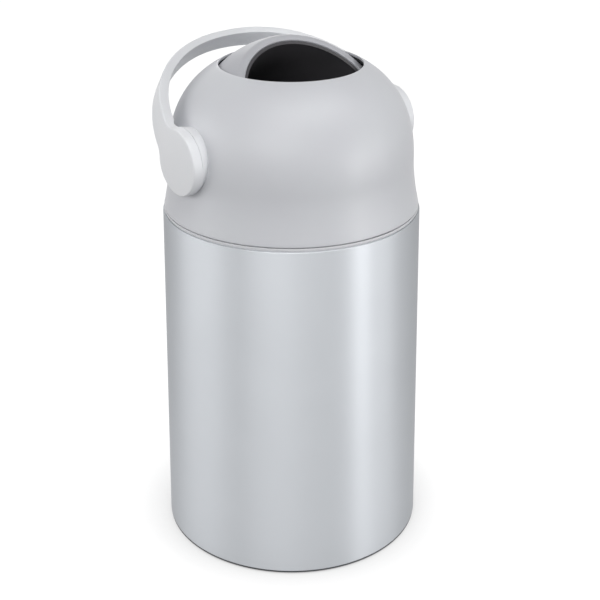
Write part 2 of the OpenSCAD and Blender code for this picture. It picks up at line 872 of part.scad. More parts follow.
// The handle seen from the front, with square feet where the hub discs are
module arch_outline() {
    seat = hub_r + move_gap;
    inner = arch(hub_x, arch_h - band_t - arch_start, arch_p);
    inner_x = inner_arch_x(seat);
    polygon(concat(
        [[arch_a, -hub_r]], arch(arch_a, arch_h - arch_start, arch_p),
        [[-arch_a, -hub_r], [-hub_x, -hub_r], [-hub_x, seat], [-inner_x, seat]],
        reverse([for (p = inner) if (p[1] > seat) p]),
        [[inner_x, seat], [hub_x, seat], [hub_x, -hub_r]]
    ));
}

module handle() {
    color("#eceef0")
        translate([0, 0, pivot_z])
            rotate([-handle_lean, 0, 0])
                difference() {
                    intersection() {
                        rotate([90, 0, 0])
                            linear_extrude(2 * hub_r + 2 * eps, center = true)
                                arch_outline();
                        rotate([90, 0, 90])
                            linear_extrude(2 * arch_a + 2 * eps, center = true)
                                both_halves(arm_side());
                    }
                    for (side = [0, 1])
                        mirror([side, 0, 0]) {
                            translate([hub_x - eps, -key_side / 2 - fit_gap, -key_side / 2 - fit_gap])
                                cube([key_end + fit_gap - hub_x + eps, key_side + 2 * fit_gap,
                                    key_side + 2 * fit_gap]);
                            translate([hub_x, 0, 0])
                                rotate([0, 90, 0])
                                    cylinder(r = long_screw_r + fit_gap / 2,
                                        h = long_screw_end + fit_gap - hub_x);
                        }
                }
}

module handle_screws() {
    head_x = flat_x - flat_t;
    color("#8d9094")
        for (side = [0, 1])
            mirror([side, 0, 0])
                translate([head_x, 0, pivot_z])
                    rotate([0, 90, 0])
                        screw(long_screw_r, long_screw_end - head_x, long_head_r, head_h);
}

// ---- Piston ----

module piston() {
    step_r = stop_r - move_gap;
    crown_z = skirt_top - piston_t;
    post_z = crown_z - weight_t - fit_gap;
    groove_r = piston_r - wiper_d;
    color("#37393c")
        in_drum()
            difference() {
                revolve([
                    [0, post_z], [post_r, post_z], [post_r, crown_z], [piston_r - piston_t, crown_z],
                    [piston_r - piston_t, piston_z], [piston_r, piston_z], [piston_r, wiper_z],
                    [groove_r, wiper_z], [groove_r, wiper_z + wiper_h], [piston_r, wiper_z + wiper_h],
                    [piston_r, skirt_top], [step_r, skirt_top], [step_r, skirt_top + crown_step],
                    [0, skirt_top + crown_step]
                ]);
                translate([0, 0, post_z - eps])
                    cylinder(r = long_screw_r + fit_gap / 2, h = weight_t + eps);
            }
}

module piston_seal() {
    color("#1d1e20")
        in_drum()
            ring(piston_r - wiper_d + fit_gap / 2, piston_r, wiper_z + fit_gap, wiper_h - 2 * fit_gap);
}

module piston_weight() {
    crown_z = skirt_top - piston_t;
    color("#7f8286")
        in_drum()
            ring(post_r + fit_gap, weight_r, crown_z - weight_t, weight_t);
}

module piston_cover() {
    color("#37393c")
        in_drum()
            translate([0, 0, piston_z])
                cylinder(r = piston_r - piston_t - fit_gap, h = piston_t);
}

module piston_screw() {
    post_z = skirt_top - piston_t - weight_t - fit_gap;
    color("#8d9094")
        in_drum()
            translate([0, 0, post_z])
                screw(long_screw_r, weight_t - fit_gap, post_r + screw_r, head_h);
}

foot_ring();
base_cap();
pail_shell();
rim_collar();
bag_ring();
hinge_bracket();
hinge_pin();
bracket_screws();
latch_catch();
lid_dome();
lid_cradle();
lid_gasket();
lower_seal();
upper_seal();
cradle_screws();
hinge_leaf();
leaf_screws();
latch_hook();
left_side() right_bush();  // left_bush
right_bush();
left_side() right_boss();  // left_boss
right_boss();
drum_mouth_half();
drum_closed_half();
chamber_liner();
left_side() right_trunnion();  // left_trunnion
right_trunnion();
handle();
handle_screws();
piston();
piston_seal();
piston_weight();
piston_cover();
piston_screw();
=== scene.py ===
import json
from bisect import bisect_left
from math import acos, asin, atan2, cos, degrees, pi, radians, sin, sqrt, tan

import bmesh
import bpy
from mathutils import Matrix, Vector


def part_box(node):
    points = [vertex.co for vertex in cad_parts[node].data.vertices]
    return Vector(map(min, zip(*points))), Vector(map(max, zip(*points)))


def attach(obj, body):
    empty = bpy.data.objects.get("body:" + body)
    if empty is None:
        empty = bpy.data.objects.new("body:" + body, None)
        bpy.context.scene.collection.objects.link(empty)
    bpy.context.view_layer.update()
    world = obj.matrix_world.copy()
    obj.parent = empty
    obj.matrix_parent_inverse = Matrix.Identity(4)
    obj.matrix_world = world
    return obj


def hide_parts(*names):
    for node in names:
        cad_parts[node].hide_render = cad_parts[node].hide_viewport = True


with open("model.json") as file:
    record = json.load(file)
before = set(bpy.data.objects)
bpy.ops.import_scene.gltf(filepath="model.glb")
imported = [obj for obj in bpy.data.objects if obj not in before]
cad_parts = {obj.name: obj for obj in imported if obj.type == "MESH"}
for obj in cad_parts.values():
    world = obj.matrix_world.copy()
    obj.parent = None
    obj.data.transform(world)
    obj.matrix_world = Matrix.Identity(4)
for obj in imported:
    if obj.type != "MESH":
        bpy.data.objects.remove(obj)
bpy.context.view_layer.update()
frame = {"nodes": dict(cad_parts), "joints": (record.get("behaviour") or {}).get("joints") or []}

# Shapes are made in mm and turned to metres when a piece is finished
mm = 0.001
joints = {joint["name"]: joint for joint in frame["joints"]}
pivotZ = joints["drum_turn"]["pos_m"][2] / mm
slideAxis = Vector(joints["piston_slide"]["axis"])
mouthTilt = atan2(-slideAxis.y, slideAxis.z)  # lean of the drum's mouth towards the front
roundSteps = 192  # straight steps round a turned piece


def nodeBox(node):
    low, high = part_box(node)
    return low / mm, high / mm


def arcPoints(centre, radius, start, end, steps=8):
    angles = [radians(start + (end - start) * i / steps) for i in range(steps + 1)]
    return [(centre[0] + radius * cos(a), centre[1] + radius * sin(a)) for a in angles]


def wholeOf(bm):
    return bm.verts[:] + bm.edges[:] + bm.faces[:]


def vertsOf(items):
    return [item for item in items if isinstance(item, bmesh.types.BMVert)]


def cutAcross(bm, point, normal, dist=0.001, clearOuter=False):
    bmesh.ops.bisect_plane(bm, geom=wholeOf(bm), dist=dist, plane_co=point, plane_no=normal,
                           clear_outer=clearOuter)


def spinOutline(points, rounds, steps=roundSteps):
    # points go round a section as (radius, height); rounds gives the corners that a bevel size rounds
    bm = bmesh.new()
    verts = [bm.verts.new((radius, 0, height)) for radius, height in points]
    for a, b in zip(verts, verts[1:] + verts[:1]):
        if a.co.x + b.co.x > 0:
            bm.edges.new((a, b))
    for size, corners in rounds.items():
        bmesh.ops.bevel(bm, geom=[verts[i] for i in corners], offset=size, segments=4, profile=0.5,
                        affect="VERTICES", material=-1)
    bmesh.ops.spin(bm, geom=bm.verts[:] + bm.edges[:], cent=(0, 0, 0), axis=(0, 0, 1),
                   angle=2 * pi, steps=steps, use_merge=True)
    bmesh.ops.remove_doubles(bm, verts=bm.verts, dist=0.001)
    return bm


def turnIntoDrum(bm):
    bmesh.ops.rotate(bm, verts=bm.verts, cent=(0, 0, 0), matrix=Matrix.Rotation(mouthTilt, 3, "X"))
    bmesh.ops.translate(bm, verts=bm.verts, vec=(0, 0, pivotZ))
    return bm


def finishPiece(name, bm, material, body, slot, *nodes, sharpAngle=35):
    bmesh.ops.scale(bm, vec=(mm, mm, mm), verts=bm.verts)
    bmesh.ops.remove_doubles(bm, verts=bm.verts, dist=0.002 * mm)
    bmesh.ops.recalc_face_normals(bm, faces=bm.faces)
    mesh = bpy.data.meshes.new(name)
    bm.to_mesh(mesh)
    bm.free()
    mesh.shade_smooth()
    mesh.set_sharp_from_angle(angle=radians(sharpAngle))
    mesh.materials.append(material)
    piece = bpy.data.objects.new(name, mesh)
    bpy.context.collection.objects.link(piece)
    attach(piece, body)
    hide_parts(*nodes)
    return piece


def hexColour(code):
    parts = [int(code[i:i + 2], 16) / 255 for i in (1, 3, 5)]
    return [p / 12.92 if p <= 0.04045 else ((p + 0.055) / 1.055) ** 2.4 for p in parts] + [1]


def addNode(tree, kind, settings, links):
    node = tree.nodes.new("ShaderNode" + kind)
    for name, value in settings.items():
        if name in node.inputs:
            node.inputs[name].default_value = value
        else:
            setattr(node, name, value)
    for name, source in links.items():
        tree.links.new(source, node.inputs[name])
    return node


def newMaterial(name):
    material = bpy.data.materials.new(name)
    material.use_nodes = True
    return material, material.node_tree, material.node_tree.nodes["Principled BSDF"]


constantSockets = ("Metallic", "IOR", "Specular IOR Level", "Specular Tint", "Anisotropic",
                   "Anisotropic Rotation")


def surface(name, look):
    # a coarse noise drifts the colour and the gloss, and a fine one roughens the surface
    material, tree, shader = newMaterial(name)
    place = addNode(tree, "TexCoord", {}, {}).outputs["Object"]
    drift = addNode(tree, "TexNoise", {"Scale": 1 / (look["drift"] * mm), "Detail": 3.0},
                    {"Vector": place})
    grain = addNode(tree, "TexNoise", {"Scale": 1 / (look["grain"] * mm), "Detail": 2.0},
                    {"Vector": place})
    colour = addNode(tree, "ValToRGB", {}, {"Fac": drift.outputs["Fac"]})
    colour.color_ramp.elements[0].color = hexColour(look["dark"])
    colour.color_ramp.elements[0].position = 0.3
    colour.color_ramp.elements[1].color = hexColour(look["light"])
    colour.color_ramp.elements[1].position = 0.7
    gloss = addNode(tree, "MapRange", {"To Min": look["roughness"] - look["roughDrift"],
                                       "To Max": look["roughness"] + look["roughDrift"]},
                    {"Value": grain.outputs["Fac"]})
    bump = addNode(tree, "Bump", {"Strength": look["bump"], "Distance": look["depth"] * mm},
                   {"Height": grain.outputs["Fac"]})
    tree.links.new(colour.outputs["Color"], shader.inputs["Base Color"])
    tree.links.new(gloss.outputs["Result"], shader.inputs["Roughness"])
    tree.links.new(bump.outputs["Normal"], shader.inputs["Normal"])
    for socket in constantSockets:
        if socket in look:
            shader.inputs[socket].default_value = look[socket]
    return material


# Silver stoving enamel on sheet steel: aluminium flake gives it soft highlights that run up the pail
# and dull towards its edges. Real flakes are 0.05 mm and the grain is drawn at 0.7 mm, so that it shows.
silverEnamel = surface("silverEnamelOnSteel", {
    "dark": "#bec1c5", "light": "#c0c3c7", "drift": 60, "grain": 0.7, "roughness": 0.53,
    "roughDrift": 0.02, "bump": 0.06, "depth": 0.02, "Metallic": 0.75,
    "Specular Tint": hexColour("#b4b4b4"), "Anisotropic": 0.8, "Anisotropic Rotation": 0.25})
enamel = silverEnamel.node_tree
aroundPail = addNode(enamel, "Tangent", {"direction_type": "RADIAL", "axis": "Z"}, {})
enamel.links.new(aroundPail.outputs["Tangent"], enamel.nodes["Principled BSDF"].inputs["Tangent"])
# Light grey ABS, moulded in a fine spark-eroded tool: an even satin without hard reflections
domeAbs = surface("mouldedAbsLightGrey", {
    "dark": "#cccdd2", "light": "#cfd1d5", "drift": 70, "grain": 0.6, "roughness": 0.42,
    "roughDrift": 0.03, "bump": 0.2, "depth": 0.03, "IOR": 1.53})
# White ABS from a smoother tool: cleaner and a little glossier than the dome
handleAbs = surface("mouldedAbsWhite", {
    "dark": "#e8eaed", "light": "#ecedf0", "drift": 50, "grain": 0.5, "roughness": 0.4,
    "roughDrift": 0.03, "bump": 0.15, "depth": 0.02, "IOR": 1.53})
# Light grey ABS of the ball drum, rubbed smooth by the seals
drumAbs = surface("mouldedAbsRubbed", {
    "dark": "#b1b2b7", "light": "#b5b6bb", "drift": 40, "grain": 0.6, "roughness": 0.5,
    "roughDrift": 0.03, "bump": 0.12, "depth": 0.02, "IOR": 1.53})
# Grey polypropylene of the collar and the cradle: a waxy, soft gloss
collarPp = surface("mouldedPolypropyleneGrey", {
    "dark": "#d6d7da", "light": "#d9dadd", "drift": 50, "grain": 0.7, "roughness": 0.48,
    "roughDrift": 0.04, "bump": 0.2, "depth": 0.03, "IOR": 1.49})
# Pale polypropylene of the bag ring and the acetal bushes
palePp = surface("mouldedPolypropylenePale", {
    "dark": "#d2d3d6", "light": "#d8d9dc", "drift": 40, "grain": 0.7, "roughness": 0.44,
    "roughDrift": 0.04, "bump": 0.2, "depth": 0.03, "IOR": 1.49})
# Dark grey polypropylene: dull, with the tool's grain
darkPp = surface("mouldedPolypropyleneDark", {
    "dark": "#3c3e41", "light": "#45474a", "drift": 30, "grain": 0.8, "roughness": 0.5,
    "roughDrift": 0.05, "bump": 0.3, "depth": 0.04, "IOR": 1.49})
# Black polypropylene of the chamber, polished by the piston
blackPp = surface("mouldedPolypropyleneBlack", {
    "dark": "#454447", "light": "#4b4a4d", "drift": 35, "grain": 0.8, "roughness": 0.42,
    "roughDrift": 0.05, "bump": 0.2, "depth": 0.03, "IOR": 1.49, "Specular IOR Level": 0.25})
# Soft moulded rubber: matt and nearly black
softRubber = surface("mouldedRubberDark", {
    "dark": "#2a2b2d", "light": "#323335", "drift": 20, "grain": 0.9, "roughness": 0.72,
    "roughDrift": 0.06, "bump": 0.4, "depth": 0.05, "IOR": 1.52})
# Zinc-plated steel of the screws and pins: bright metal with a clouded plating
zincSteel = surface("zincPlatedSteel", {
    "dark": "#a4a7ac", "light": "#bcbfc3", "drift": 5, "grain": 0.4, "roughness": 0.34,
    "roughDrift": 0.08, "bump": 0.15, "depth": 0.02, "Metallic": 1.0})
# Grey stove paint over the hinge's steel
hingePaint = surface("stovePaintOnSteel", {
    "dark": "#b2b4b8", "light": "#b9bbbf", "drift": 25, "grain": 0.6, "roughness": 0.4,
    "roughDrift": 0.04, "bump": 0.2, "depth": 0.03, "Metallic": 0.3})
# Cast iron weight with the skin that the sand mould leaves
castIron = surface("sandCastIron", {
    "dark": "#5d6064", "light": "#74777b", "drift": 9, "grain": 1.2, "roughness": 0.6,
    "roughDrift": 0.08, "bump": 0.6, "depth": 0.15, "Metallic": 0.8})
print("materials made:", len(bpy.data.materials))

# The pail: sheet steel that widens slightly to the floor, rolled over at the top
pail = {"sheet": 0.8, "flare": 7, "roll": 1.2, "rollFlat": 1.4, "hem": 0.8, "footUp": 0.9}
pailLow, pailHigh = nodeBox("pail_shell")
rimZ = pailHigh.z
footR = pailHigh.x + pail["flare"] * pailLow.z / (rimZ - pailLow.z)
rimR = footR - pail["flare"]


def pailRadius(z):
    return footR - pail["flare"] * z / rimZ


def makePail():
    rollZ = rimZ - pail["roll"]
    centre = (pailRadius(rollZ) - pail["roll"], rollZ)
    inner = pail["roll"] - pail["sheet"]
    flatR = rimR - pail["roll"] - pail["rollFlat"]
    foot = (pailRadius(pailLow.z), pailLow.z + pail["footUp"])
    points = [foot, *arcPoints(centre, pail["roll"], 0, 90), (flatR, rimZ),
              (flatR, rimZ - pail["sheet"]), *arcPoints(centre, inner, 90, 0),
              (foot[0] - pail["sheet"], foot[1])]
    bm = spinOutline(points, {pail["hem"]: [0]})
    finishPiece("pailShell", bm, silverEnamel, "pail", "silver_enamel", "pail_shell")


# The base closes the pail from below, and its edge shows as a dark line at the floor
base = {"floor": 2.4, "hollow": 4.4, "wallGap": 0.9, "footInset": 3, "footWidth": 15, "footThick": 1.6,
        "keyWidth": 3, "keyHeight": 2, "keyGap": 0.1, "ribEvery": 12, "ribDepth": 3.2, "ribEnd": 110,
        "hubR": 22, "hubWall": 3, "grooveDepth": 0.6, "grooveWidth": 2.4}


def makeFootRing():
    outer = footR - base["footInset"]
    inner = outer - base["footWidth"]
    keyR = (outer + inner) / 2
    points = [(inner, 0)]
    for share in (0.25, 0.5, 0.75):  # three grip grooves under the ring
        middle = inner + base["footWidth"] * share
        half = base["grooveWidth"] / 2
        points += [(middle - half, 0), (middle - half * 0.6, base["grooveDepth"]),
                   (middle + half * 0.6, base["grooveDepth"]), (middle + half, 0)]
    top = base["footThick"]
    half = base["keyWidth"] / 2
    points += [(outer, 0), (outer, top), (keyR + half, top), (keyR + half, top + base["keyHeight"]),
               (keyR - half, top + base["keyHeight"]), (keyR - half, top), (inner, top)]
    bm = spinOutline(points, {0.4: [0, 13], 0.3: [14]})
    finishPiece("footRing", bm, softRubber, "pail", "rubber", "foot_ring")


def makeBaseCap():
    low, high = nodeBox("base_cap")
    restR = footR - base["footInset"] - base["footWidth"] - base["floor"]
    floorZ = low.z + base["hollow"]
    innerR = pailRadius(pailLow.z) - base["wallGap"]
    edgeTop = pailLow.z + pail["footUp"]
    wallR = pailRadius(high.z) - base["wallGap"]
    keyR = footR - base["footInset"] - base["footWidth"] / 2
    half = base["keyWidth"] / 2 + base["keyGap"]
    keyTop = low.z + base["keyHeight"] + base["keyGap"]
    hubIn = base["hubR"] - base["hubWall"]
    points = [(0, floorZ), (hubIn, floorZ), (base["hubR"], floorZ), (base["ribEnd"], floorZ),
              (restR, floorZ), (restR, low.z), (keyR - half, low.z), (keyR - half, keyTop),
              (keyR + half, keyTop), (keyR + half, low.z), (high.x, low.z), (high.x, edgeTop),
              (innerR, edgeTop), (wallR, high.z), (wallR - base["floor"], high.z),
              (wallR - base["floor"], floorZ + base["floor"]), (0, floorZ + base["floor"])]
    bm = spinOutline(points, {0.8: [14], 3: [15], 0.3: [10, 11], 1: [4]})
    ribs = []  # ribs and hub grow down from these faces, which stay inside them
    for face in bm.faces:
        spot = face.calc_center_median()
        reach = spot.xy.length
        if abs(spot.z - floorZ) > 0.01 or not hubIn <= reach <= base["ribEnd"]:
            continue
        sector = int((atan2(spot.y, spot.x) % (2 * pi)) / (2 * pi) * roundSteps)
        if sector % base["ribEvery"] == 0 or reach < base["hubR"]:
            ribs.append(face)
    grown = bmesh.ops.extrude_face_region(bm, geom=ribs)["geom"]
    bmesh.ops.translate(bm, verts=vertsOf(grown), vec=(0, 0, -base["ribDepth"]))
    finishPiece("baseCap", bm, darkPp, "pail", "dark_plastic", "base_cap")


# The collar sits in the rolled edge, and its band shows between the pail and the lid
collar = {"band": 3.2, "bandInset": 1.4, "line": 1, "lineDepth": 1, "flange": 11.6, "skirt": 2.4,
          "skirtDepth": 30, "rib": 6, "ribGap": 0.2, "ledge": 4.5, "ledgeThick": 2.5, "ringGap": 0.3,
          "ringHeight": 22, "ringWall": 2.2, "ringFlange": 7, "blockHalf": 10, "blockGap": 0.1}
bandTop = rimZ + collar["band"]
bandR = rimR - collar["bandInset"]
collarIn = bandR - collar["flange"]
skirtZ = rimZ - collar["skirtDepth"]
ledgeZ = skirtZ + collar["ledgeThick"]


def makeCollar():
    skirtR = collarIn + collar["skirt"]
    lineR = rimR - pail["roll"] - collar["lineDepth"]
    ribR = rimR - pail["roll"] - pail["rollFlat"] - collar["ribGap"]
    ribZ = rimZ - collar["rib"]
    points = [(collarIn, bandTop), (collarIn, ledgeZ), (collarIn - collar["ledge"], ledgeZ),
              (collarIn - collar["ledge"], skirtZ), (skirtR, skirtZ), (skirtR, ribZ), (skirtR, rimZ),
              (ribR - collar["skirt"], rimZ), (ribR - collar["skirt"], ribZ), (ribR, ribZ), (ribR, rimZ),
              (lineR, rimZ), (lineR, rimZ + collar["line"]), (bandR, rimZ + collar["line"]),
              (bandR, bandTop)]
    bm = spinOutline(points, {0.6: [0, 2, 3], 0.5: [14], 0.3: [13]})
    block = []  # the hinge screws' backing grows from these faces, which stay inside it
    for face in bm.faces:
        spot = face.calc_center_median()
        onSkirt = abs(spot.xy.length - skirtR) < 0.2 and skirtZ < spot.z < ribZ
        if onSkirt and abs(spot.x) < collar["blockHalf"] and spot.y > 0:
            block.append(face)
    grown = bmesh.ops.extrude_face_region(bm, geom=block)["geom"]
    for vert in vertsOf(grown):
        reach = pailRadius(vert.co.z) - pail["sheet"] - collar["blockGap"]
        vert.co.xy = vert.co.xy.normalized() * reach
    finishPiece("rimCollar", bm, collarPp, "pail", "collar_plastic", "rim_collar")


def makeBagRing():
    outer = collarIn - collar["ringGap"]
    top = ledgeZ + collar["ringHeight"]
    wall = collar["ringWall"]
    lip = outer - collar["ringFlange"]
    points = [(outer, ledgeZ), (outer, top), (lip, top), (lip, top - wall), (outer - wall, top - wall),
              (outer - wall, ledgeZ)]
    bm = spinOutline(points, {1: [1, 2], 0.8: [3], 1.5: [4], 0.5: [0, 5]})
    finishPiece("bagRing", bm, palePp, "pail", "pale_plastic", "bag_ring")


# The lid's dome: a wall that leans in, then a crown that closes to the loading opening
dome = {"wallHeight": 46.5, "shoulderIn": 6.7, "wallCurve": 1.6, "wallSteps": 10, "crownHeight": 114.4,
        "crownPower": 2.38, "crownSteps": 44, "openR": 72.9, "thick": 2.6, "openRound": 0.9,
        "footRound": 0.3, "grooveDepth": 1.8, "grooveHeight": 0.8}
domeLow, domeHigh = nodeBox("lid_dome")
domeZ = domeLow.z
shoulderZ = domeZ + dome["wallHeight"]
shoulderR = domeHigh.x - dome["shoulderIn"]


def domeRadius(z):
    if z < shoulderZ:
        share = (shoulderZ - z) / dome["wallHeight"]
        return shoulderR + dome["shoulderIn"] * share ** dome["wallCurve"]
    share = ((z - shoulderZ) / dome["crownHeight"]) ** dome["crownPower"]
    return shoulderR * (1 - share) ** (1 / dome["crownPower"])


def crownPoints(inset, endR, steps=dome["crownSteps"]):
    a, b = shoulderR - inset, dome["crownHeight"] - inset
    last = acos((endR / a) ** (dome["crownPower"] / 2))
    power = 2 / dome["crownPower"]
    angles = [last * i / steps for i in range(steps + 1)]
    return [(a * cos(t) ** power, shoulderZ + b * sin(t) ** power) for t in angles]


def makeDome():
    steps = dome["wallSteps"]
    heights = [domeZ + dome["wallHeight"] * i / steps for i in range(steps)]
    # a low step at the foot keeps a line of shadow over the collar
    stepIn, stepZ = domeRadius(domeZ) - dome["grooveDepth"], domeZ + dome["grooveHeight"]
    outer = [(stepIn, domeZ), (stepIn, stepZ), (domeRadius(stepZ), stepZ),
             *((domeRadius(z), z) for z in heights[1:]), *crownPoints(0, dome["openR"])]
    inner = [*((domeRadius(z) - dome["thick"], z) for z in heights),
             *crownPoints(dome["thick"], dome["openR"])]
    points = outer + inner[::-1]
    edge = len(outer)
    bm = spinOutline(points, {dome["openRound"]: [edge - 1, edge],
                              dome["footRound"]: [2, len(points) - 1]})
    finishPiece("lidDome", bm, domeAbs, "lid", "dome_plastic", "lid_dome")


# Hub places along X, from the middle outwards
hub = {"radius": 33.5, "thick": 9.9, "gap": 0.3, "bushR": 14.15, "stepIn": 0.2, "taper": 1.8,
       "clear": 0.03}
bossX = nodeBox("right_boss")[1].x
hubX = bossX + hub["gap"]


def makeBossRing(name, side, node):
    # a ring that narrows to the dome and follows it, with a fine step at the disc as a parting line
    bm = bmesh.new()
    for radius in (hub["bushR"], hub["radius"]):
        bmesh.ops.create_circle(bm, segments=128, radius=radius)
    bmesh.ops.bridge_loops(bm, edges=bm.edges)
    grown = bmesh.ops.extrude_face_region(bm, geom=bm.faces[:], use_keep_orig=True)["geom"]
    inside = set(vertsOf(grown))
    for vert in bm.verts:  # the circle's X and Y become the bin's Y and Z
        if vert in inside and vert.co.length > (hub["bushR"] + hub["radius"]) / 2:
            vert.co *= 1 - hub["taper"] / hub["radius"]
        y, z = vert.co.x, vert.co.y + pivotZ
        x = sqrt(domeRadius(z) ** 2 - y ** 2) + hub["clear"] if vert in inside else bossX
        vert.co = (side * x, y, z)
    end = [face for face in bm.faces if all(abs(abs(v.co.x) - bossX) < 0.001 for v in face.verts)]
    bmesh.ops.inset_region(bm, faces=end, thickness=hub["stepIn"], use_even_offset=True)
    bmesh.ops.translate(bm, verts=list({v for face in end for v in face.verts}),
                        vec=(side * (hub["gap"] - hub["clear"]), 0, 0))
    finishPiece(name, bm, handleAbs, "lid", "handle_plastic", node)


# The carrying handle: hub discs and band in one flat outline, bent along the arch
handle = {"topWidth": 20, "footWidth": 34, "bandThick": 8.2, "straight": 8, "power": 2.17, "blend": 14,
          "edgeRound": 1.5, "backRound": 0.4, "edgeSteps": 24, "overEnd": 5, "row": 3, "lean": 53.8,
          "overBall": 38.8, "ease": 7}
ballGap = 3.5  # between the opening's edge and the ball drum
ballR = sqrt(dome["openR"] ** 2 + (domeHigh.z - pivotZ) ** 2) - ballGap


def archCurve(halfWidth, height, steps=600):
    # points up one half of the arch
    power = 2 / handle["power"]
    angles = [pi / 2 * i / steps for i in range(steps + 1)]
    curve = [Vector((halfWidth * cos(t) ** power, handle["straight"] + height * sin(t) ** power))
             for t in angles]
    curve[-1].x = 0
    return curve


def makeHandle():
    archTop = ballR + handle["overBall"]
    outer = archCurve(hubX + hub["thick"], archTop - handle["straight"])
    inner = archCurve(hubX, archTop - handle["bandThick"] - handle["straight"])
    lengths = [handle["straight"]]
    for a, b in zip(outer, outer[1:]):
        lengths.append(lengths[-1] + (b - a).length)

    # lengths are measured along the arch's outer side
    def curveAt(curve, along):
        spot = min(max(bisect_left(lengths, along), 1), len(lengths) - 1)
        share = (along - lengths[spot - 1]) / (lengths[spot] - lengths[spot - 1])
        return curve[spot - 1].lerp(curve[spot], min(share, 1))

    def alongAt(height):
        spot = min(max(bisect_left(outer, height, key=lambda point: point.y), 1), len(outer) - 1)
        share = (height - outer[spot - 1].y) / (outer[spot].y - outer[spot - 1].y)
        return lengths[spot - 1] + share * (lengths[spot] - lengths[spot - 1])

    # the band narrows evenly from the hub discs to its top, and blends into them
    blend, hubR = handle["blend"], hub["radius"]
    lean = atan2((handle["footWidth"] - handle["topWidth"]) / 2, archTop - hubR)
    blendX = handle["footWidth"] / 2 * cos(lean) + hubR * sin(lean) + blend
    meet = atan2(sqrt((hubR + blend) ** 2 - blendX ** 2), blendX) + lean
    centre = ((hubR + blend) * cos(meet), (hubR + blend) * sin(meet))
    foot = centre[1] - blend * sin(lean)
    end = lengths[-1]
    half = handle["topWidth"] / 2
    steps = handle["edgeSteps"]
    edge = [(half + (archTop - curveAt(outer, a).y) * tan(lean), a)
            for a in (end - (end - alongAt(foot)) * i / steps for i in range(steps))]
    arcs = (arcPoints(centre, blend, 180 + degrees(lean), 180 + degrees(meet), 16)
            + arcPoints((0, 0), hubR, degrees(meet), -90, 56)[1:])
    side = [(half, end + handle["overEnd"]), *edge]
    side += [(x, alongAt(y) if y > handle["straight"] else y) for x, y in arcs]
    bm = bmesh.new()
    face = bm.faces.new([bm.verts.new((x, y, 0)) for x, y in side + [(-x, y) for x, y in side[-2::-1]]])
    grown = bmesh.ops.extrude_face_region(bm, geom=[face], use_keep_orig=True)["geom"]
    bmesh.ops.translate(bm, verts=vertsOf(grown), vec=(0, 0, hub["thick"]))
    # the outer edges are rounded well, and those at the back only slightly
    for level, size in ((0, handle["backRound"]), (hub["thick"], handle["edgeRound"])):
        rim = [edge for edge in bm.edges if all(abs(vert.co.z - level) < 0.001 for vert in edge.verts)]
        bmesh.ops.bevel(bm, geom=rim, offset=size, segments=4, profile=0.5, affect="EDGES",
                        clamp_overlap=True, material=-1)
    cutAcross(bm, (0, end, 0), (0, 1, 0), clearOuter=True)
    rows = int((end - handle["straight"]) / handle["row"])
    for i in range(rows):
        level = handle["straight"] + (end - handle["straight"]) * i / rows
        cutAcross(bm, (0, level, 0), (0, 1, 0))
    for vert in bm.verts:
        across, along, share = vert.co.x, vert.co.y, vert.co.z / hub["thick"]
        if along <= handle["straight"]:
            spot = Vector((hubX + share * hub["thick"], along))
        else:
            far, near = curveAt(outer, along), curveAt(inner, along)
            keep = min(max(1 - (along - hubR) / handle["ease"], 0), 1)  # hub disc's flat back, eased off
            near = near.lerp(Vector((hubX, far.y)), keep)
            spot = near.lerp(far, share)
        vert.co = (spot.x, across, spot.y)
    bmesh.ops.mirror(bm, geom=wholeOf(bm), matrix=Matrix.Identity(4), merge_dist=0.01, axis="X")
    bmesh.ops.rotate(bm, verts=bm.verts, cent=(0, 0, 0),
                     matrix=Matrix.Rotation(radians(-handle["lean"]), 3, "X"))
    bmesh.ops.translate(bm, verts=bm.verts, vec=(0, 0, pivotZ))
    finishPiece("carryingHandle", bm, handleAbs, "drum", "handle_plastic", "handle", sharpAngle=40)


# The ball drum in two halves, its flats for the trunnions, and the black chamber inside
drum = {"wall": 2.5, "mouthOver": 7.8, "lip": 6.8, "lipThick": 3, "lipRound": 6, "innerRound": 1,
        "flatIn": 3.3, "flatThick": 3, "lap": 6, "lapWall": 1.6, "linerWall": 2.2, "linerBack": 2.6,
        "linerDown": 1.8, "stop": 0.8, "stopHeight": 3, "stopEdge": 0.4, "gap": 0.1}
mouthR = dome["openR"] + drum["mouthOver"]
mouthD = sqrt(ballR ** 2 - mouthR ** 2)
linerR = mouthR - drum["lip"] - drum["gap"]
boreR = linerR - drum["linerWall"]
hollowR = ballR - drum["wall"]
linerZ = drum["linerBack"] - sqrt(hollowR ** 2 - linerR ** 2)


def flattenSides(bm):
    # the sides are cut flat where the trunnions bolt on, thicker than the wall
    outer = ballR - drum["flatIn"]
    inner = outer - drum["flatThick"]
    for level in (outer, inner, -inner, -outer):
        cutAcross(bm, (level, 0, 0), (1, 0, 0))
    middle = (ballR + hollowR) / 2
    for vert in bm.verts:
        limit = outer if vert.co.length > middle else inner
        vert.co.x = min(max(vert.co.x, -limit), limit)


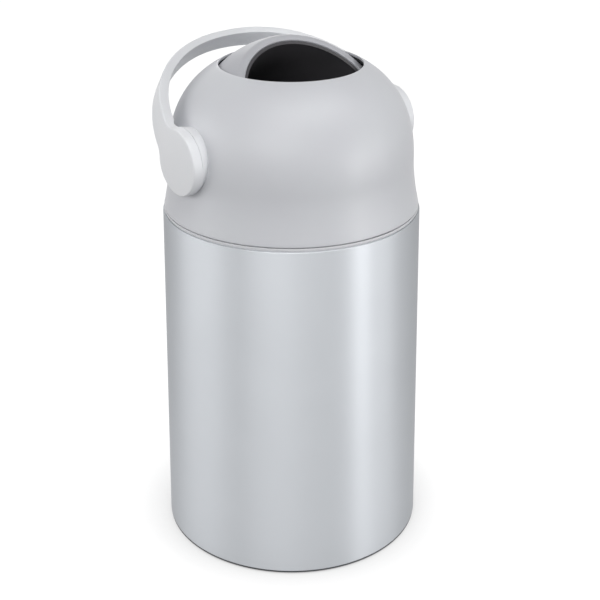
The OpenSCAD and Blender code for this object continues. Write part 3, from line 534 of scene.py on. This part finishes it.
def makeMouthHalf():
    # the ball runs into the flat lip with an arc that touches both
    lipRound = drum["lipRound"]
    lipCentre = (sqrt((ballR - lipRound) ** 2 - (mouthD - lipRound) ** 2), mouthD - lipRound)
    lipA = degrees(atan2(lipCentre[1], lipCentre[0]))
    under = mouthD - drum["lipThick"]
    lapR = sqrt(hollowR ** 2 - drum["lap"] ** 2) - drum["gap"]
    underA = degrees(asin(under / hollowR))
    lapA = degrees(asin(drum["lap"] / 2 / hollowR))
    ball = [*arcPoints((0, 0), ballR, 0, lipA, 40), *arcPoints(lipCentre, lipRound, lipA, 90)[1:]]
    points = [*ball, (linerR + drum["gap"], mouthD), (linerR + drum["gap"], under),
              *arcPoints((0, 0), hollowR, underA, lapA, 24),
              (lapR - drum["lapWall"], drum["lap"] / 2), (lapR - drum["lapWall"], -drum["lap"]),
              (lapR, -drum["lap"]), (lapR, 0)]
    bm = spinOutline(points, {drum["innerRound"]: [len(ball)]})
    flattenSides(bm)
    finishPiece("drumMouthHalf", turnIntoDrum(bm), drumAbs, "drum", "drum_plastic", "drum_mouth_half")


def makeClosedHalf():
    points = arcPoints((0, 0), ballR, -90, 0, 48) + arcPoints((0, 0), hollowR, 0, -90, 48)
    points[0] = (0, -ballR)
    points[-1] = (0, -hollowR)
    bm = spinOutline(points, {})
    flattenSides(bm)
    finishPiece("drumClosedHalf", turnIntoDrum(bm), drumAbs, "drum", "drum_plastic", "drum_closed_half")


def makeLiner():
    # its rim turns in over the chamber and stops the piston
    top = mouthD - drum["linerDown"]
    stopZ = mouthD - drum["stopHeight"]
    stopTop = stopZ + drum["stopEdge"]
    floorZ = linerZ + drum["linerWall"]
    stopR = boreR - drum["stop"]
    points = [(0, linerZ), (linerR, linerZ), (linerR, top), (stopR, stopTop), (stopR, stopZ),
              (boreR, stopZ), (boreR, floorZ), (0, floorZ)]
    bm = spinOutline(points, {3: [1], 0.3: [2, 5], 1.5: [6]})
    finishPiece("chamberLiner", turnIntoDrum(bm), blackPp, "drum", "black_plastic", "chamber_liner")


# The piston shows its crown at the bottom of the chamber: a dished disc with a raised rim and centre
piston = {"gap": 0.3, "height": 26, "wall": 2.5, "step": 3, "wiperHeight": 4, "wiperDepth": 1.4,
          "wiperDown": 4, "post": 8, "weight": 6, "dish": 1.2, "rim": 5, "button": 12}


def makePiston():
    radius = boreR - piston["gap"]
    lowZ = linerZ + drum["linerWall"] + piston["gap"]
    topZ = lowZ + piston["height"]
    crownZ = topZ - piston["wall"]
    postZ = crownZ - piston["weight"] - 0.1
    wiperZ = topZ - piston["wiperDown"] - piston["wiperHeight"]
    grooveR = radius - piston["wiperDepth"]
    stepR = boreR - drum["stop"] - piston["gap"]
    faceZ = topZ + piston["step"]
    dishZ = faceZ - piston["dish"]
    points = [(0, postZ), (piston["post"], postZ), (piston["post"], crownZ),
              (radius - piston["wall"], crownZ), (radius - piston["wall"], lowZ), (radius, lowZ),
              (radius, wiperZ), (grooveR, wiperZ), (grooveR, wiperZ + piston["wiperHeight"]),
              (radius, wiperZ + piston["wiperHeight"]), (radius, topZ), (stepR, topZ), (stepR, faceZ),
              (stepR - piston["rim"], faceZ), (stepR - piston["rim"] - 1, dishZ),
              (piston["button"] + 1, dishZ), (piston["button"], faceZ), (0, faceZ)]
    bm = spinOutline(points, {0.8: [12, 10], 0.5: [13, 14, 15, 16]})
    finishPiece("pistonCrown", turnIntoDrum(bm), darkPp, "piston", "dark_plastic", "piston")


# Seals, gasket and cradle under the dome
seat = {"plateUp": 2.2, "plate": 3.5, "chuteOver": 3.8, "chuteDrop": 20, "chuteWall": 2.5, "ease": 0.5,
        "lowerOver": 8.8, "sealHeight": 3, "sealWidth": 4, "upperOver": 2.9, "upperWidth": 9,
        "upperThick": 1.8, "gap": 0.3, "fit": 0.1, "screwRing": 116.5, "gasket": 3, "groove": 1}
plateZ = domeZ + seat["plateUp"]
lowerR = mouthR + seat["lowerOver"]
lowerA = asin(lowerR / ballR)
shelfR = lowerR + seat["chuteWall"]
shelfZ = pivotZ - ballR * cos(lowerA) - seat["sealHeight"] / 3
sealOut = shelfR + seat["sealWidth"]


def makeUpperSeal():
    tipR = dome["openR"] + seat["upperOver"]
    lipR = ballR + seat["gap"]
    tip = (tipR, pivotZ + sqrt(lipR ** 2 - tipR ** 2))
    back = [p for p in crownPoints(dome["thick"] + seat["fit"], tipR - 1)
            if p[0] < tipR + seat["upperWidth"]]
    under = [p for p in crownPoints(dome["thick"] + seat["upperThick"], tipR + 1.5)
             if p[0] < tipR + seat["upperWidth"]]
    bm = spinOutline(back + [tip] + under[::-1], {0.3: [len(back)]})
    finishPiece("upperSeal", bm, softRubber, "lid", "rubber", "upper_seal")


def makeLowerSeal():
    lipR = ballR + seat["gap"]
    tip = (lipR * sin(lowerA), pivotZ - lipR * cos(lowerA))
    top = shelfZ + seat["sealHeight"]
    points = [tip, (shelfR - seat["fit"], shelfZ), (sealOut, shelfZ), (sealOut, top),
              (shelfR + seat["ease"], top)]
    bm = spinOutline(points, {0.3: [0], 0.4: [3]})
    finishPiece("lowerSeal", bm, softRubber, "lid", "rubber", "lower_seal")


def makeGasket():
    low, high = nodeBox("lid_gasket")
    inner = high.x - seat["gasket"]
    points = [(inner, low.z), (high.x, low.z), (high.x, high.z), (inner, high.z)]
    bm = spinOutline(points, {0.7: [0, 1]})
    finishPiece("lidGasket", bm, softRubber, "lid", "rubber", "lid_gasket")


def makeCradle():
    wall = seat["chuteWall"]
    chuteR = mouthR + seat["chuteOver"]
    plateTop = plateZ + seat["plate"]
    plateR = domeRadius(plateTop) - dome["thick"] - seat["fit"]
    lipOut = sealOut + wall
    chuteZ = rimZ - seat["chuteDrop"]
    bendZ = shelfZ - wall - 2 * (shelfR - chuteR)
    slopeR = seat["screwRing"] - screws["headR"] - seat["plateUp"]
    high = nodeBox("lid_gasket")[1]
    grooveIn, grooveOut = high.x - seat["gasket"] - seat["fit"], high.x + seat["fit"]
    grooveZ = plateZ + seat["groove"]
    sealTop = shelfZ + seat["sealHeight"]
    points = [(chuteR, chuteZ), (chuteR + wall, chuteZ), (chuteR + wall, bendZ - seat["ease"]),
              (lipOut - seat["ease"], shelfZ - 2 * wall), (slopeR, plateZ), (grooveIn, plateZ),
              (grooveIn, grooveZ), (grooveOut, grooveZ), (grooveOut, plateZ), (plateR, plateZ),
              (plateR, plateTop), (slopeR + seat["ease"], plateTop), (lipOut, shelfZ - wall),
              (lipOut, sealTop), (sealOut + seat["fit"], sealTop), (sealOut + seat["fit"], shelfZ),
              (shelfR, shelfZ), (shelfR, shelfZ - wall), (chuteR, bendZ)]
    bm = spinOutline(points, {0.9: [0, 1], 2: [2, 18], 1.5: [3, 4], 0.6: [13]})
    finishPiece("lidCradle", bm, collarPp, "lid", "collar_plastic", "lid_cradle")


# Screws with a low round head. The recess is sunk from its top faces, which stay and cover it.
screws = {"shankR": 1.5, "headR": 3.2, "head": 2, "recess": 1.1, "recessR": 2, "recessWidth": 0.8,
          "headRound": 0.7, "cradleLength": 13, "bracketLength": 8.5, "bracketPlate": 2,
          "leafLength": 5.1}


def makeScrews(name, length, matrices, body, node):
    points = [(0, -length), (screws["shankR"] * 0.4, -length), (screws["shankR"], 1 - length),
              (screws["shankR"], 0), (screws["headR"], 0), (screws["headR"], screws["head"]),
              (screws["recessR"], screws["head"]), (0, screws["head"])]
    bm = spinOutline(points, {screws["headRound"]: [5], 0.2: [4]}, 32)
    half = screws["recessWidth"] / 2
    for axis in ((1, 0, 0), (0, 1, 0)):
        for level in (-half, half):
            cutAcross(bm, Vector(axis) * level, axis, dist=0.0001)
    cross = []
    for face in bm.faces:
        spot = face.calc_center_median()
        inCross = min(abs(spot.x), abs(spot.y)) < half and spot.xy.length < screws["recessR"]
        if inCross and abs(spot.z - screws["head"]) < 0.01:
            cross.append(face)
    grown = bmesh.ops.extrude_face_region(bm, geom=cross)["geom"]
    bmesh.ops.translate(bm, verts=vertsOf(grown), vec=(0, 0, -screws["recess"]))
    source = wholeOf(bm)
    for matrix in matrices:
        copied = bmesh.ops.duplicate(bm, geom=source)["geom"]
        bmesh.ops.transform(bm, matrix=matrix, verts=vertsOf(copied))
    bmesh.ops.delete(bm, geom=source, context="VERTS")
    finishPiece(name, bm, zincSteel, body, "steel", node)


def makeAllScrews():
    turnBack = Matrix.Rotation(radians(-90), 4, "X")  # heads face the back
    turnDown = Matrix.Rotation(pi, 4, "X")
    ring = Vector((seat["screwRing"], 0, plateZ))
    places = [Matrix.Rotation(radians(60 * i), 4, "Z") @ Matrix.Translation(ring) @ turnDown
              for i in range(6)]
    makeScrews("cradleScrews", screws["cradleLength"], places, "lid", "cradle_screws")
    low, high = nodeBox("bracket_screws")
    levels = (low.z + screws["headR"], high.z - screws["headR"])
    seatY = [pailRadius(z) + screws["bracketPlate"] for z in levels]
    places = [Matrix.Translation((0, y, z)) @ turnBack for y, z in zip(seatY, levels)]
    makeScrews("bracketScrews", screws["bracketLength"], places, "pail", "bracket_screws")
    low, high = nodeBox("leaf_screws")
    seatPoint = (high.x - screws["headR"], high.y - screws["head"], (low.z + high.z) / 2)
    places = [Matrix.Translation((side * seatPoint[0], *seatPoint[1:])) @ turnBack for side in (-1, 1)]
    makeScrews("leafScrews", screws["leafLength"], places, "lid", "leaf_screws")


def makeSoftened(name, node, material, body, slot, edgeRound):
    # a pressed or moulded fitting: the CAD shape with its sharp edges rounded
    bm = bmesh.new()
    bm.from_mesh(frame["nodes"][node].data)
    bmesh.ops.scale(bm, vec=(1 / mm, 1 / mm, 1 / mm), verts=bm.verts)
    bmesh.ops.remove_doubles(bm, verts=bm.verts, dist=0.01)
    flat, sharp = radians(1), radians(40)
    bmesh.ops.dissolve_limit(bm, angle_limit=flat, verts=bm.verts, edges=bm.edges)
    edges = [edge for edge in bm.edges if edge.is_manifold and edge.calc_face_angle() > sharp]
    bmesh.ops.bevel(bm, geom=edges, offset=edgeRound, segments=2, profile=0.5, affect="EDGES",
                    clamp_overlap=True, material=-1)
    finishPiece(name, bm, material, body, slot, node)


makePail()
makeFootRing()
makeBaseCap()
makeCollar()
makeBagRing()
print("pail made")
makeDome()
makeBossRing("leftBossRing", -1, "left_boss")
makeBossRing("rightBossRing", 1, "right_boss")
makeUpperSeal()
makeLowerSeal()
makeGasket()
makeCradle()
print("lid made")
makeHandle()
makeMouthHalf()
makeClosedHalf()
makeLiner()
makePiston()
print("drum and piston made")
makeAllScrews()
makeSoftened("hingeBracket", "hinge_bracket", hingePaint, "pail", "hinge_steel", 0.4)
makeSoftened("hingeLeaf", "hinge_leaf", hingePaint, "lid", "hinge_steel", 0.4)
makeSoftened("hingePin", "hinge_pin", zincSteel, "pail", "steel", 0.4)
makeSoftened("latchCatch", "latch_catch", collarPp, "pail", "collar_plastic", 0.3)
makeSoftened("latchHook", "latch_hook", collarPp, "lid", "collar_plastic", 0.3)
print("fittings made")

# The hidden pieces keep their CAD shapes
hiddenFinishes = {"left_bush": palePp, "right_bush": palePp, "left_trunnion": darkPp,
                  "right_trunnion": darkPp, "handle_screws": zincSteel, "piston_seal": softRubber,
                  "piston_weight": castIron, "piston_cover": darkPp, "piston_screw": zincSteel}
for node, material in hiddenFinishes.items():
    mesh = frame["nodes"][node].data
    mesh.materials.clear()
    mesh.materials.append(material)

# White studio: the camera and mirror-like surfaces see plain white, the object gets a plain level
studio = {"worldLevel": 0.05, "floorSize": 14, "floorColour": "#888888", "floorRoughness": 0.9,
          "floorLift": 0.93, "creaseReach": 0.07, "creaseShadowTone": 0.4}


def whiteForCamera(tree):
    # 1 for rays that show the background, 0 for those that light the object
    path = addNode(tree, "LightPath", {}, {})
    seen = addNode(tree, "Math", {"operation": "MAXIMUM"}, {})
    tree.links.new(path.outputs["Is Camera Ray"], seen.inputs[0])
    tree.links.new(path.outputs["Is Glossy Ray"], seen.inputs[1])
    both = addNode(tree, "Math", {"operation": "MAXIMUM"}, {})
    tree.links.new(seen.outputs[0], both.inputs[0])
    tree.links.new(path.outputs["Is Transmission Ray"], both.inputs[1])
    return both.outputs[0]


def makeWorld():
    world = bpy.data.worlds.new("studioWorld")
    bpy.context.scene.world = world
    world.use_nodes = True
    tree = world.node_tree
    level = addNode(tree, "MapRange", {"To Min": studio["worldLevel"], "To Max": 1.0},
                    {"Value": whiteForCamera(tree)})
    tree.nodes["Background"].inputs["Color"].default_value = (1, 1, 1, 1)
    tree.links.new(level.outputs["Result"], tree.nodes["Background"].inputs["Strength"])


def makeFloor():
    bm = bmesh.new()
    bmesh.ops.create_grid(bm, x_segments=1, y_segments=1, size=studio["floorSize"] / 2)
    mesh = bpy.data.meshes.new("studioFloor")
    bm.to_mesh(mesh)
    bm.free()
    floor = bpy.data.objects.new("studioFloor", mesh)
    bpy.context.collection.objects.link(floor)
    material, tree, shader = newMaterial("mattWhitePaper")
    shader.inputs["Base Color"].default_value = hexColour(studio["floorColour"])
    shader.inputs["Roughness"].default_value = studio["floorRoughness"]
    shader.inputs["Specular IOR Level"].default_value = 0
    shader.inputs["Emission Color"].default_value = (1, 1, 1, 1)
    lift = addNode(tree, "MapRange", {"To Min": 0.0, "To Max": studio["floorLift"]},
                   {"Value": whiteForCamera(tree)})
    # painted shadow: ambient occlusion dims the floor's glow in the crease round the foot
    crease = addNode(tree, "AmbientOcclusion", {"samples": 16, "Distance": studio["creaseReach"]}, {})
    shade = addNode(tree, "MapRange", {"To Min": studio["creaseShadowTone"], "To Max": 1.0},
                    {"Value": crease.outputs["AO"]})
    glow = addNode(tree, "Math", {"operation": "MULTIPLY"}, {})
    tree.links.new(lift.outputs["Result"], glow.inputs[0])
    tree.links.new(shade.outputs["Result"], glow.inputs[1])
    tree.links.new(glow.outputs[0], shader.inputs["Emission Strength"])
    mesh.materials.append(material)


def makeLamp(name, place, aimHeight, size, power):
    light = bpy.data.lights.new(name, "AREA")
    light.shape = "RECTANGLE"
    light.size, light.size_y = size
    light.energy = power
    lamp = bpy.data.objects.new(name, light)
    lamp.visible_camera = False
    bpy.context.collection.objects.link(lamp)
    lamp.location = place
    aim = Vector((0, 0, aimHeight)) - Vector(place)
    lamp.rotation_euler = aim.to_track_quat("-Z", "Y").to_euler()


def aroundBin(azimuth, distance, height):
    # azimuth 0 is in front of the bin, and 90 on its right
    return (distance * sin(radians(azimuth)), -distance * cos(radians(azimuth)), height)


makeWorld()
makeFloor()
makeLamp("keySoftbox", aroundBin(-54, 3.2, 2), 0.3, (2.4, 1.6), 40)
makeLamp("frontPanel", aroundBin(-18, 3.2, 1.2), 0.3, (1.8, 1.4), 6)
makeLamp("leftPanel", aroundBin(-118, 3, 1), 0.3, (2.7, 1.8), 33)
makeLamp("overheadLeft", aroundBin(-36, 1.6, 3.2), 0.3, (1.6, 1.6), 26)
makeLamp("overheadRight", aroundBin(30, 1.6, 3.2), 0.3, (1.6, 1.6), 23)
makeLamp("stripRight", aroundBin(24, 2.6, 0.4), 0.4, (0.45, 0.8), 15.5)
makeLamp("rightPanel", aroundBin(48, 2.6, 0.5), 0.4, (0.8, 1), 8)
makeLamp("backPanel", aroundBin(150, 3, 1.6), 0.3, (1.6, 1.6), 18)

# The camera stands to the front left, above the bin, and looks 25 degrees down
view = {"azimuth": -35.67, "distance": 1.2578, "height": 0.8429, "pitch": 24.93, "yaw": 0.41,
        "lens": 76.59, "sensor": 36}
camera = bpy.data.objects.new("camera", bpy.data.cameras.new("camera"))
bpy.context.collection.objects.link(camera)
camera.location = aroundBin(view["azimuth"], view["distance"], view["height"])
camera.rotation_euler = (radians(90 - view["pitch"]), 0, radians(view["azimuth"] - view["yaw"]))
camera.data.lens = view["lens"]
camera.data.sensor_width = view["sensor"]
bpy.context.scene.camera = camera
bpy.context.scene.view_settings.view_transform = "Standard"
